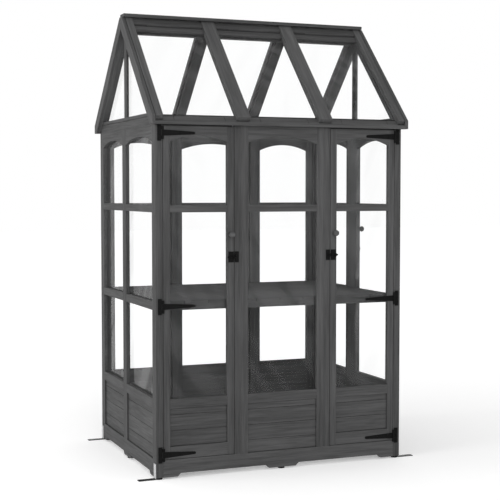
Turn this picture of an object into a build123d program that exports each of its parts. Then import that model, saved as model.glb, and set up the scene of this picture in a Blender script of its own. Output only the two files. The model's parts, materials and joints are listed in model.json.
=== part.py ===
from build123d import *
from dataclasses import dataclass
from math import cos, radians, sin, tan
import os

# A wooden greenhouse: glazed walls above a boarded base, a shelf across the inside, a glazed
# gable roof, two doors in the front and one in the front half of the right side.
# Millimetres, +Z up. The origin is on the ground, midway between the four bracket holes.
# The front faces -Y, and +X runs along it from left to right.

# Overall sizes
width = 1200.0  # across the outer faces of the corner posts
depth = 934.0  # front face to rear face
eave_height = 1550.0  # ground to the top of the walls
roof_pitch = 45.0  # degrees

# Timber and sheet sections
post_size = 33.0  # square posts
wall_thickness = 18.0  # stiles, rails, skirts and mullions
door_thickness = 22.0
board_thickness = 10.0  # boards of the closed base
board_setback = 8.0  # board faces behind the stiles
board_gap = 1.5  # open line between two boards
pane_thickness = 2.5
pane_lap = 10.0  # pane edge behind its frame
joint_gap = 0.2  # between the sticks of one frame
arris = 0.8  # chamfer along the timber edges

# Heights on the walls
skirt_bottom = 22.0
skirt_top = 85.0
low_board = 57.0
plank = 69.5  # two rows of planks
base_strip = 29.0
base_rail = 42.0  # closes the top of the base
mid_rail_bottom = 1169.0
mid_rail = 31.0
arch_drop = 44.0  # crown of the arched heads below the wall top
arch_rise = 30.0

# Places along the walls
inner_post_x = 217.5  # centre of the posts beside the doors
centre_stile = 31.5
rear_stile = 26.5  # beside the inner posts of the rear wall
rear_outer_stile = 34.0
side_stile = 20.0
side_bay = 436.0  # front post to side mullion
mullion = 58.0
door_mullion = 66.0  # beside the side door

# Doors
door_gap = 2.0  # at both long edges and at the foot
door_head_gap = 5.0
hinge_stile = 30.0
latch_stile = 32.0
side_latch_stile = 52.0
stop_height = 18.0  # strips behind the door heads
stop_thickness = 10.0
stop_gap = 0.5

# Feet, glides and ground brackets
glide_height = 8.0
corner_glide_radius = 16.0
mid_glide_radius = 15.0
mid_glide_inset = 17.0
front_foot = 80.0  # corner foot along the front and rear
side_foot = 70.0
front_mid_foot = 160.0
side_mid_foot = 130.0
foot_slope = 14.0  # run of a foot's sloping end
bracket_thickness = 3.0
bracket_width = 26.0
bracket_leg = 78.0
bracket_rise = 70.0
bracket_bend = 2.0  # outer corner taken off at the bend
bracket_hole_radius = 4.0
bracket_hole_reach = 45.0  # hole centre from the post's face
bracket_inset = 17.0  # bracket centre line behind the front or rear face

# Shelf
shelf_top = 778.0
shelf_board_thickness = 12.0
shelf_board_count = 10
shelf_board_gap = 2.0
shelf_rail_height = 27.5
shelf_rail_thickness = 18.0
side_shelf_rail = 36.0  # in the side walls, level with the shelf's top
shelf_end_gap = 3.0  # to the panes of the side walls

# Roof
eave_overhang = 30.0
eave_foot = 38.0  # plumb cut at the barge foot
eave_rail_width = 45.0
eave_lip = 10.0  # stop below the panes, along the slope
gable_overhang = 7.0  # end rafters past the walls
barge_thickness = 15.0
barge_deep = 52.0  # square to the slope
cap_seat = 18.0  # flat that the cap lies on, below the ridge line
cap_thickness = 15.0
cap_width = 64.0
cap_inset = 8.0  # cap end behind the barge's outer face
batten_x = 200.0
batten_width = 64.0
batten_thickness = 25.0
end_batten_gap = 3.0  # shadow line beside the barge
roof_pane_thickness = 3.0
roof_pane_gap = 2.0
inner_rafter_width = 48.0
inner_rafter_thickness = 14.0
end_rafter_width = 36.0
ridge_beam_width = 44.0
ridge_beam_side = 33.0
ridge_gap = 0.3
ridge_board_reach = 66.0  # from the ridge line, along the slope
ridge_board_thickness = 20.0
ridge_board_tongue = 4.0  # middle part of the lower edge, further down the slope
ridge_board_rebate = 65.0
top_strip_gap = 2.0
top_strip_length = 30.0
top_strip_thickness = 12.0
foot_strip_length = 28.5
foot_strip_thickness = 6.0
foot_block = 52.0  # short piece beside each batten
gable_board_height = 54.0
gable_strip = 16.0  # its upper part
gable_board_thickness = 18.0
king_post_width = 40.0
king_post_thickness = 12.0
gable_pane_thickness = 3.0
gable_pane_gap = 0.3

# Strap hinges
hinge_above_skirt = 23.0  # lowest hinge
hinge_below_shelf = 19.0  # middle hinge, from the shelf's top
hinge_head_gap = 1.0  # highest plate below the wall top
hinge_metal = 3.0
hinge_axis_proud = 5.0  # pin centre in front of the wall face
knuckle_radius = 4.5
knuckle_length = 14.2
knuckle_gap = 0.3
pin_radius = 2.5
pin_fit = 0.05
pin_head_radius = 3.6
pin_head = 1.5
hinge_plate_width = 17.0
hinge_plate_height = 70.0
hinge_plate_offset = 7.0  # plate edge to pin centre
strap_reach = 148.0
strap_root = 27.0
strap_tip = 12.0

# Barrel bolts and knobs
latch_height = 970.0
latch_metal = 2.0
latch_plate_height = 48.0
latch_plate_width = 25.0
latch_inset = 2.0  # plate edge behind the door edge
guide_width = 4.0
guide_height = 14.0
guide_reach = 14.0  # outer face of a guide in front of the door
bolt_radius = 4.0
bolt_fit = 0.05
bolt_axis = 7.5  # bolt centre in front of the door
bolt_hold = 2.0  # left in the inner guide at full travel
bolt_tip_inset = 1.0  # tip behind the outer guide's face
bolt_travel = 9.0
peg_radius = 2.0
peg_reach = 20.0
peg_clearance = 1.5
keeper_width = 19.5
keeper_inset = 0.5
keeper_loop = 7.0
keeper_fit = 0.4
knob_above_latch = 100.0
knob_inset = 18.0  # centre behind the door's latch edge
knob_radius = 13.5
knob_reach = 38.0
knob_shoulder = 24.0  # widest part from the door
knob_foot_radius = 9.0
knob_waist_radius = 7.0
knob_waist = 8.0
knob_face_radius = 5.0

# Values that follow from the driving sizes
half_width = width / 2
half_depth = depth / 2
pitch = radians(roof_pitch)
arch_crown = eave_height - arch_drop
arch_spring = arch_crown - arch_rise
door_top = eave_height - door_head_gap
door_bottom = skirt_top + door_gap
inner_post_out = inner_post_x + post_size / 2
inner_post_in = inner_post_x - post_size / 2
front_of_mullion = -half_depth + post_size + side_bay
rear_of_mullion = front_of_mullion + mullion
rear_of_door_mullion = front_of_mullion + door_mullion

eave_out = half_depth + eave_overhang
eave_in = eave_out - eave_rail_width
ridge_height = eave_height + eave_foot + eave_out * tan(pitch)
cap_bottom = ridge_height - cap_seat
gable_out = half_width + gable_overhang
barge_out = gable_out + barge_thickness
pane_under = batten_thickness + roof_pane_thickness
foot_strip_top = batten_thickness - foot_strip_thickness
end_rafter_in = gable_out - end_rafter_width
batten_start = max(cap_seat / sin(pitch), batten_thickness * tan(pitch)) + ridge_gap
batten_end = eave_out / cos(pitch)
pane_start = pane_under * tan(pitch) + ridge_gap
gable_board_top = eave_height + gable_board_height

board_rows = []
row_bottom = skirt_top
for row_height in (low_board, plank, plank, base_strip):
    board_rows.append((row_bottom, row_bottom + row_height))
    row_bottom += row_height
base_top = row_bottom + base_rail
rail_rows = [(row_bottom, base_top), (mid_rail_bottom, mid_rail_bottom + mid_rail)]
shelf_row = (shelf_top - side_shelf_rail, shelf_top)

# Wall planes: x along the wall seen from outside, y up, z outwards
front = Plane(origin=(0, -half_depth, 0), x_dir=(1, 0, 0), z_dir=(0, -1, 0))
rear = Plane(origin=(0, half_depth, 0), x_dir=(-1, 0, 0), z_dir=(0, 1, 0))
left = Plane(origin=(-half_width, 0, 0), x_dir=(0, -1, 0), z_dir=(-1, 0, 0))
right = Plane(origin=(half_width, 0, 0), x_dir=(0, 1, 0), z_dir=(1, 0, 0))

# Front roof slope: x along the ridge, y up the slope, z out of the roof, origin on the ridge line
slope = Plane(
    origin=(0, 0, ridge_height), x_dir=(1, 0, 0), z_dir=(0, -sin(pitch), cos(pitch))
)

os.makedirs("parts", exist_ok=True)


def keep(piece, name):
    """Label a finished piece and write it."""
    piece.part.label = name
    export_step(piece.part, f"parts/{name}.step")


def place(plane, across, up, out=0.0):
    """Location of a point given in a wall's or slope's own directions."""
    return plane.location * Location((across, up, out))


def stick(wall, near, far, low, high, face, back):
    """Add a straight stick between two sides, two heights and two depths behind the wall face."""
    with Locations(place(wall, (near + far) / 2, (low + high) / 2, -(face + back) / 2)):
        Box(far - near, high - low, back - face)


def slat(near, far, upper, lower, top, under):
    """Add a slat to the front slope, by its distances down the slope and depths below the battens."""
    stick(slope, near, far, -lower, -upper, top, under)


def arched_head(wall, near, far, top, thickness):
    """Add a rail with an arched lower edge."""
    middle = (near + far) / 2
    with BuildSketch(wall) as outline:
        with BuildLine():
            Polyline((far, arch_spring), (far, top), (near, top), (near, arch_spring))
            ThreePointArc((near, arch_spring), (middle, arch_crown), (far, arch_spring))
        make_face()
    extrude(outline.sketch, amount=-thickness, dir=wall.z_dir)


def slope_z(y, below):
    """Height of the roof at a distance from the ridge line, some depth square below its battens."""
    return ridge_height - y * tan(pitch) - below / cos(pitch)


def gable_outline(clearance):
    """Corners of the triangle under the end rafters, as distances from the ridge line and heights."""
    below = barge_deep + clearance
    foot = slope_z(eave_out, below)
    return [(-eave_out, foot), (eave_out, foot), (0, slope_z(0, below))]


@dataclass
class Bay:
    """One fixed glazed bay: its wall, its ends and the stiles at them."""

    wall: Plane
    near: float
    far: float
    near_stile: float
    far_stile: float
    has_shelf_rail: bool = False

    @property
    def opening(self):
        return self.near + self.near_stile, self.far - self.far_stile


@dataclass
class Door:
    """One door: its wall, its hinge and latch edges along that wall, and its latch stile."""

    name: str
    wall: Plane
    hinge_edge: float
    latch_edge: float
    latch_stile: float

    @property
    def way(self):
        return 1 if self.latch_edge > self.hinge_edge else -1

    @property
    def sides(self):
        return min(self.hinge_edge, self.latch_edge), max(self.hinge_edge, self.latch_edge)

    @property
    def opening(self):
        hinge_end = self.hinge_edge + self.way * hinge_stile
        latch_end = self.latch_edge - self.way * self.latch_stile
        return min(hinge_end, latch_end), max(hinge_end, latch_end)

    @property
    def hinge_axis(self):
        return self.hinge_edge - self.way * door_gap / 2

    def from_latch_edge(self, distance):
        return self.latch_edge + self.way * distance


corner_in = half_width - post_size
side_in = half_depth - post_size
walls = {
    "centre": [Bay(front, -inner_post_in, inner_post_in, centre_stile, centre_stile)],
    "rear": [
        Bay(rear, -inner_post_in, inner_post_in, rear_stile, rear_stile),
        Bay(rear, inner_post_out, corner_in, rear_stile, rear_outer_stile),
        Bay(rear, -corner_in, -inner_post_out, rear_outer_stile, rear_stile),
    ],
    "left": [
        Bay(left, -front_of_mullion, side_in, 0, side_stile, True),
        Bay(left, -side_in, -rear_of_mullion, side_stile, 0, True),
    ],
    "right": [Bay(right, rear_of_door_mullion, side_in, 0, side_stile, True)],
}
doors = [
    Door("left_door", front, door_gap - corner_in, -inner_post_out - door_gap, latch_stile),
    Door("right_door", front, corner_in - door_gap, inner_post_out + door_gap, latch_stile),
    Door("side_door", right, door_gap - side_in, front_of_mullion - door_gap, side_latch_stile),
]

# Posts and mullions
with BuildPart(Plane.XY.offset(glide_height)) as corner_posts:
    with GridLocations(width - post_size, depth - post_size, 2, 2):
        Box(
            post_size,
            post_size,
            eave_height - glide_height,
            align=(Align.CENTER, Align.CENTER, Align.MIN),
        )
    chamfer(corner_posts.edges(), arris)
keep(corner_posts, "corner_posts")

with BuildPart(Plane.XY.offset(skirt_top)) as inner_posts:
    with GridLocations(2 * inner_post_x, depth - post_size, 2, 2):
        Box(
            post_size,
            post_size,
            eave_height - skirt_top,
            align=(Align.CENTER, Align.CENTER, Align.MIN),
        )
    chamfer(inner_posts.edges(), arris)
keep(inner_posts, "inner_posts")

with BuildPart() as side_mullions:
    stick(left, -rear_of_mullion, -front_of_mullion, skirt_top, eave_height, 0, wall_thickness)
    stick(right, front_of_mullion, rear_of_door_mullion, skirt_top, eave_height, 0, wall_thickness)
    chamfer(side_mullions.edges(), arris)
keep(side_mullions, "side_mullions")

# Skirts, feet, glides and ground brackets
with BuildPart() as skirt_boards:
    for wall, end in ((front, corner_in), (rear, corner_in), (left, side_in), (right, side_in)):
        stick(wall, -end, end, skirt_bottom, skirt_top, 0, wall_thickness)
    chamfer(skirt_boards.edges(), arris)
keep(skirt_boards, "skirt_boards")

with BuildPart() as foot_blocks:
    for wall, end, corner_foot, mid_foot in (
        (front, corner_in, front_foot, front_mid_foot),
        (rear, corner_in, front_foot, front_mid_foot),
        (left, side_in, side_foot, side_mid_foot),
        (right, side_in, side_foot, side_mid_foot),
    ):
        corner_start = end - corner_foot
        mid_end = mid_foot / 2
        with BuildSketch(wall) as feet:
            Polygon(
                (corner_start, skirt_bottom),
                (corner_start + foot_slope, glide_height),
                (end, glide_height),
                (end, skirt_bottom),
                align=None,
            )
            mirror(about=Plane.YZ)
            Polygon(
                (-mid_end, skirt_bottom),
                (foot_slope - mid_end, glide_height),
                (mid_end - foot_slope, glide_height),
                (mid_end, skirt_bottom),
                align=None,
            )
        extrude(amount=-wall_thickness)
keep(foot_blocks, "foot_blocks")

with BuildPart() as foot_glides:
    with GridLocations(width - post_size, depth - post_size, 2, 2):
        Cylinder(
            corner_glide_radius,
            glide_height,
            align=(Align.CENTER, Align.CENTER, Align.MIN),
        )
    mid_glide_y = half_depth - mid_glide_inset
    mid_glide_x = half_width - mid_glide_inset
    with Locations((0, -mid_glide_y), (0, mid_glide_y), (-mid_glide_x, 0), (mid_glide_x, 0)):
        Cylinder(
            mid_glide_radius,
            glide_height,
            align=(Align.CENTER, Align.CENTER, Align.MIN),
        )
keep(foot_glides, "foot_glides")

with BuildPart() as ground_brackets:
    bracket_y = half_depth - bracket_inset
    with BuildSketch(Plane.XZ.offset(-bracket_y - bracket_width / 2)) as bracket_profile:
        Polygon(
            (half_width, 0),
            (half_width + bracket_leg, 0),
            (half_width + bracket_leg, bracket_thickness),
            (half_width + bracket_thickness, bracket_thickness),
            (half_width + bracket_thickness, bracket_rise),
            (half_width, bracket_rise),
            align=None,
        )
        bend = bracket_profile.vertices().sort_by_distance((half_width, 0))[0]
        chamfer(bend, bracket_bend)
    extrude(amount=bracket_width)
    with Locations((half_width + bracket_hole_reach, bracket_y, bracket_thickness)):
        Hole(bracket_hole_radius, bracket_thickness)
    mirror(about=Plane.XZ)
    mirror(about=Plane.YZ)
keep(ground_brackets, "ground_brackets")

# Fixed walls: framing, base boards and clear panes
for wall_name, bays in walls.items():
    with BuildPart() as wall_frame:
        for bay in bays:
            near, far = bay.opening
            if bay.near_stile:
                stick(bay.wall, bay.near, near, skirt_top, eave_height, 0, wall_thickness)
            if bay.far_stile:
                stick(bay.wall, far, bay.far, skirt_top, eave_height, 0, wall_thickness)
            near += joint_gap
            far -= joint_gap
            rows = rail_rows + [shelf_row] if bay.has_shelf_rail else rail_rows
            for low, high in rows:
                stick(bay.wall, near, far, low, high, 0, wall_thickness)
            arched_head(bay.wall, near, far, eave_height, wall_thickness)
        chamfer(wall_frame.edges(), arris)
    keep(wall_frame, f"{wall_name}_frame")

    with BuildPart() as wall_boards:
        for bay in bays:
            for low, high in board_rows:
                stick(
                    bay.wall,
                    *bay.opening,
                    low + board_gap / 2,
                    high - board_gap / 2,
                    board_setback,
                    board_setback + board_thickness,
                )
        chamfer(wall_boards.edges(), arris)
    keep(wall_boards, f"{wall_name}_boards")

    with BuildPart() as wall_panes:
        for bay in bays:
            near, far = bay.opening
            stick(
                bay.wall,
                near - pane_lap,
                far + pane_lap,
                base_top - pane_lap,
                arch_crown + pane_lap,
                wall_thickness,
                wall_thickness + pane_thickness,
            )
    keep(wall_panes, f"{wall_name}_panes")

# Shelf across the inside
shelf_half = half_width - door_thickness - pane_thickness - shelf_end_gap
shelf_under = shelf_top - shelf_board_thickness
with BuildPart(Plane.XY.offset(shelf_under)) as shelf_boards:
    shelf_pitch = (2 * shelf_half + shelf_board_gap) / shelf_board_count
    with GridLocations(shelf_pitch, 1, shelf_board_count, 1):
        Box(
            shelf_pitch - shelf_board_gap,
            2 * side_in,
            shelf_board_thickness,
            align=(Align.CENTER, Align.CENTER, Align.MIN),
        )
    chamfer(shelf_boards.edges(), arris)
keep(shelf_boards, "shelf_boards")

with BuildPart(Plane.XY.offset(shelf_under)) as shelf_rails:
    with GridLocations(1, 2 * side_in - shelf_rail_thickness, 1, 2):
        Box(
            2 * shelf_half,
            shelf_rail_thickness,
            shelf_rail_height,
            align=(Align.CENTER, Align.CENTER, Align.MAX),
        )
    chamfer(shelf_rails.edges(), arris)
keep(shelf_rails, "shelf_rails")

# Strips that the door heads close against: two along the front, one along the right side
with BuildPart() as door_stops:
    stop_face = door_thickness + stop_gap
    for wall, near, far in (
        (front, -corner_in, -inner_post_out),
        (front, inner_post_out, corner_in),
        (right, -side_in, side_in),
    ):
        stick(
            wall,
            near,
            far,
            eave_height - stop_height,
            eave_height,
            stop_face,
            stop_face + stop_thickness,
        )
    chamfer(door_stops.edges(), arris)
keep(door_stops, "door_stops")

# Roof timbers that carry the panes
lip_foot = (eave_out, slope_z(eave_out, foot_strip_top))
lip_head = (eave_out - eave_lip * cos(pitch), lip_foot[1] + eave_lip * sin(pitch))
lip_height = pane_under - foot_strip_top
lip_heel = (lip_head[0] - lip_height * sin(pitch), lip_head[1] - lip_height * cos(pitch))
lip_distance = lip_head[0] * cos(pitch) + (ridge_height - lip_head[1]) * sin(pitch)

with BuildPart() as eave_rails:
    with BuildSketch(Plane.YZ.offset(-gable_out)):
        Polygon(
            (eave_in, eave_height),
            (eave_out, eave_height),
            lip_foot,
            lip_head,
            lip_heel,
            (eave_in, slope_z(eave_in, pane_under)),
            align=None,
        )
    extrude(amount=2 * gable_out)
    chamfer(eave_rails.edges().filter_by(Axis.X).sort_by(Axis.Y)[-2:], arris)
    mirror(about=Plane.XZ)
keep(eave_rails, "eave_rails")

with BuildPart() as ridge_beam:
    beam_half = ridge_beam_width / 2
    beam_shoulder = slope_z(beam_half, pane_under)
    with BuildSketch(Plane.YZ.offset(-end_rafter_in)):
        Polygon(
            (-beam_half, beam_shoulder - ridge_beam_side),
            (beam_half, beam_shoulder - ridge_beam_side),
            (beam_half, beam_shoulder),
            (0, slope_z(0, pane_under)),
            (-beam_half, beam_shoulder),
            align=None,
        )
    extrude(amount=2 * end_rafter_in)
keep(ridge_beam, "ridge_beam")

with BuildPart() as inner_rafters:
    rafter_under = pane_under + inner_rafter_thickness
    with BuildSketch(Plane.YZ.offset(batten_x - inner_rafter_width / 2)):
        Polygon(
            (beam_half, slope_z(beam_half, rafter_under)),
            (eave_in, slope_z(eave_in, rafter_under)),
            (eave_in, slope_z(eave_in, pane_under)),
            (beam_half, slope_z(beam_half, pane_under)),
            align=None,
        )
    extrude(amount=inner_rafter_width)
    chamfer(inner_rafters.edges(), arris)
    mirror(about=Plane.XZ)
    mirror(about=Plane.YZ)
keep(inner_rafters, "inner_rafters")

with BuildPart() as end_rafters:
    with BuildSketch(Plane.YZ.offset(end_rafter_in)):
        Polygon(
            (ridge_gap, slope_z(ridge_gap, barge_deep)),
            (eave_in, slope_z(eave_in, barge_deep)),
            (eave_in, slope_z(eave_in, pane_under)),
            (ridge_gap, slope_z(ridge_gap, pane_under)),
            align=None,
        )
    extrude(amount=end_rafter_width)
    split(bisect_by=Plane.XY.offset(eave_height), keep=Keep.TOP)
    chamfer(end_rafters.edges(), arris)
    mirror(about=Plane.XZ)
    mirror(about=Plane.YZ)
keep(end_rafters, "end_rafters")

with BuildPart() as barge_boards:
    with BuildSketch(Plane.YZ.offset(gable_out)):
        Polygon(
            (ridge_gap, slope_z(ridge_gap, barge_deep)),
            (eave_out, slope_z(eave_out, barge_deep)),
            (eave_out, slope_z(eave_out, 0)),
            (ridge_gap, slope_z(ridge_gap, 0)),
            align=None,
        )
    extrude(amount=barge_thickness)
    split(bisect_by=Plane.XY.offset(eave_height), keep=Keep.TOP)
    split(bisect_by=Plane.XY.offset(cap_bottom), keep=Keep.BOTTOM)
    chamfer(barge_boards.edges(), arris)
    mirror(about=Plane.XZ)
    mirror(about=Plane.YZ)
keep(barge_boards, "barge_boards")

# Gables
with BuildPart() as gable_boards:
    strip_bottom = gable_board_top - gable_strip
    for low, high in (
        (eave_height, strip_bottom - board_gap / 2),
        (strip_bottom + board_gap / 2, gable_board_top),
    ):
        with BuildSketch(Plane.YZ.offset(half_width - gable_board_thickness)):
            with Locations((0, (low + high) / 2)):
                Rectangle(2 * eave_in, high - low)
            Polygon(*gable_outline(0), align=None, mode=Mode.INTERSECT)
        extrude(amount=gable_board_thickness)
    chamfer(gable_boards.edges(), arris)
    mirror(about=Plane.YZ)
keep(gable_boards, "gable_boards")

with BuildPart() as king_posts:
    gable_rise = slope_z(0, barge_deep) - gable_board_top
    with BuildSketch(Plane.YZ.offset(half_width - king_post_thickness)):
        with Locations((0, gable_board_top + gable_rise / 2)):
            Rectangle(king_post_width, gable_rise)
        Polygon(*gable_outline(0), align=None, mode=Mode.INTERSECT)
    extrude(amount=king_post_thickness)
    chamfer(king_posts.edges(), arris)
    mirror(about=Plane.YZ)
keep(king_posts, "king_posts")

with BuildPart() as gable_panes:
    pane_foot = gable_board_top + gable_pane_gap
    with BuildSketch(Plane.YZ.offset(half_width - king_post_thickness - gable_pane_thickness)):
        with Locations((0, pane_foot + gable_rise / 2)):
            Rectangle(2 * eave_in, gable_rise)
        Polygon(*gable_outline(gable_pane_gap), align=None, mode=Mode.INTERSECT)
    extrude(amount=gable_pane_thickness)
    mirror(about=Plane.YZ)
keep(gable_panes, "gable_panes")

# Roof covering: panes, the battens over their edges, ridge boards and strips
batten_in = batten_x - batten_width / 2
batten_out = batten_x + batten_width / 2
roof_bays = [(-end_rafter_in, -batten_out), (-batten_in, batten_in), (batten_out, end_rafter_in)]
end_batten_out = gable_out - end_batten_gap
pane_seam = roof_pane_gap / 2

with BuildPart() as roof_panes:
    for near, far in (
        (-end_batten_out, -batten_x - pane_seam),
        (pane_seam - batten_x, batten_x - pane_seam),
        (batten_x + pane_seam, end_batten_out),
    ):
        slat(near, far, pane_start, lip_distance - joint_gap, batten_thickness, pane_under)
    mirror(about=Plane.XZ)
keep(roof_panes, "roof_panes")

with BuildPart() as roof_battens:
    for middle in (-batten_x, batten_x):
        slat(
            middle - batten_width / 2,
            middle + batten_width / 2,
            batten_start,
            batten_end,
            0,
            batten_thickness,
        )
    chamfer(roof_battens.edges(), arris)
    mirror(about=Plane.XZ)
keep(roof_battens, "roof_battens")

with BuildPart() as end_battens:
    slat(end_rafter_in, end_batten_out, batten_start, batten_end, 0, batten_thickness)
    chamfer(end_battens.edges(), arris)
    mirror(about=Plane.XZ)
    mirror(about=Plane.YZ)
keep(end_battens, "end_battens")

with BuildPart() as ridge_boards:
    board_face = batten_thickness - ridge_board_thickness
    tongue_end = ridge_board_reach + ridge_board_tongue
    for near, far in roof_bays:
        near += joint_gap
        far -= joint_gap
        tongue_near = near + ridge_board_rebate
        tongue_far = far - ridge_board_rebate
        slat(near, far, batten_start, ridge_board_reach, board_face, batten_thickness)
        slat(tongue_near, tongue_far, ridge_board_reach, tongue_end, board_face, batten_thickness)
    mirror(about=Plane.XZ)
keep(ridge_boards, "ridge_boards")

with BuildPart() as pane_strips:
    strip_start = tongue_end + top_strip_gap
    strip_face = batten_thickness - top_strip_thickness
    foot_start = lip_distance - foot_strip_length
    for near, far in roof_bays:
        slat(
            near + joint_gap,
            far - joint_gap,
            strip_start,
            strip_start + top_strip_length,
            strip_face,
            batten_thickness,
        )
        block_near = near + foot_block
        block_far = far - foot_block
        for foot_near, foot_far in (
            (near + joint_gap, block_near - board_gap / 2),
            (block_near + board_gap / 2, block_far - board_gap / 2),
            (block_far + board_gap / 2, far - joint_gap),
        ):
            slat(
                foot_near,
                foot_far,
                foot_start,
                lip_distance - joint_gap,
                foot_strip_top,
                batten_thickness,
            )
    chamfer(pane_strips.edges(), arris)
    mirror(about=Plane.XZ)
keep(pane_strips, "pane_strips")

with BuildPart(Plane.XY.offset(cap_bottom)) as ridge_cap:
    Box(
        2 * (barge_out - cap_inset),
        cap_width,
        cap_thickness,
        align=(Align.CENTER, Align.CENTER, Align.MIN),
    )
    chamfer(ridge_cap.edges(), arris)
keep(ridge_cap, "ridge_cap")

# Hinge parts that stay on the posts
bore_radius = pin_radius + pin_fit
post_knuckle = strap_root / 2 + knuckle_gap + knuckle_length / 2
hinge_half = post_knuckle + knuckle_length / 2
upright = (90, 0, 0)
hinge_heights = (
    skirt_top + hinge_above_skirt,
    shelf_top - hinge_below_shelf,
    eave_height - hinge_head_gap - hinge_plate_height / 2,
)
hinges = [(door, height) for door in doors for height in hinge_heights]

with BuildPart() as hinge_plates:
    for door, height in hinges:
        axis = door.hinge_axis
        plate_middle = axis - door.way * (hinge_plate_offset + hinge_plate_width / 2)
        with Locations(place(door.wall, plate_middle, height, hinge_metal / 2)):
            Box(hinge_plate_width, hinge_plate_height, hinge_metal)
        for knuckle_z in (height - post_knuckle, height + post_knuckle):
            tab_middle = axis - door.way * hinge_plate_offset / 2
            with Locations(place(door.wall, tab_middle, knuckle_z, hinge_metal / 2)):
                Box(hinge_plate_offset, knuckle_length, hinge_metal)
            with Locations(place(door.wall, axis, knuckle_z, hinge_axis_proud)):
                Cylinder(knuckle_radius, knuckle_length, rotation=upright)
        with Locations(place(door.wall, axis, height, hinge_axis_proud)):
            Cylinder(bore_radius, hinge_plate_height, rotation=upright, mode=Mode.SUBTRACT)
keep(hinge_plates, "hinge_plates")

with BuildPart() as hinge_pins:
    for door, height in hinges:
        with Locations(place(door.wall, door.hinge_axis, height, hinge_axis_proud)):
            Cylinder(pin_radius, 2 * hinge_half, rotation=upright)
        for end_z in (height - hinge_half - pin_head / 2, height + hinge_half + pin_head / 2):
            with Locations(place(door.wall, door.hinge_axis, end_z, hinge_axis_proud)):
                Cylinder(pin_head_radius, pin_head, rotation=upright)
keep(hinge_pins, "hinge_pins")

# Bolt keepers beside the doors
along_wall = (0, 90, 0)
guide_middle = (latch_metal + guide_reach) / 2
guide_depth = guide_reach - latch_metal

with BuildPart() as bolt_keepers:
    for door in doors:
        keeper_near = door_gap + keeper_inset
        plate_middle = door.from_latch_edge(keeper_near + keeper_width / 2)
        loop_middle = door.from_latch_edge(keeper_near + keeper_loop / 2)
        with Locations(place(door.wall, plate_middle, latch_height, latch_metal / 2)):
            Box(keeper_width, latch_plate_height, latch_metal)
        with Locations(place(door.wall, loop_middle, latch_height, guide_middle)):
            Box(keeper_loop, guide_height, guide_depth)
        with Locations(place(door.wall, loop_middle, latch_height, bolt_axis)):
            Cylinder(
                bolt_radius + keeper_fit,
                2 * keeper_loop,
                rotation=along_wall,
                mode=Mode.SUBTRACT,
            )
keep(bolt_keepers, "bolt_keepers")

# Doors, each with its framing, boards, pane, hinge straps, knob, bolt case and bolt
plate_near = -latch_inset - latch_plate_width
inner_guide = plate_near + guide_width / 2
outer_guide = -latch_inset - guide_width / 2
bolt_near = plate_near + guide_width - bolt_hold - bolt_travel
bolt_far = -latch_inset - bolt_tip_inset
peg_place = plate_near + guide_width + peg_clearance + peg_radius
knob_height = latch_height + knob_above_latch

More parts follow.
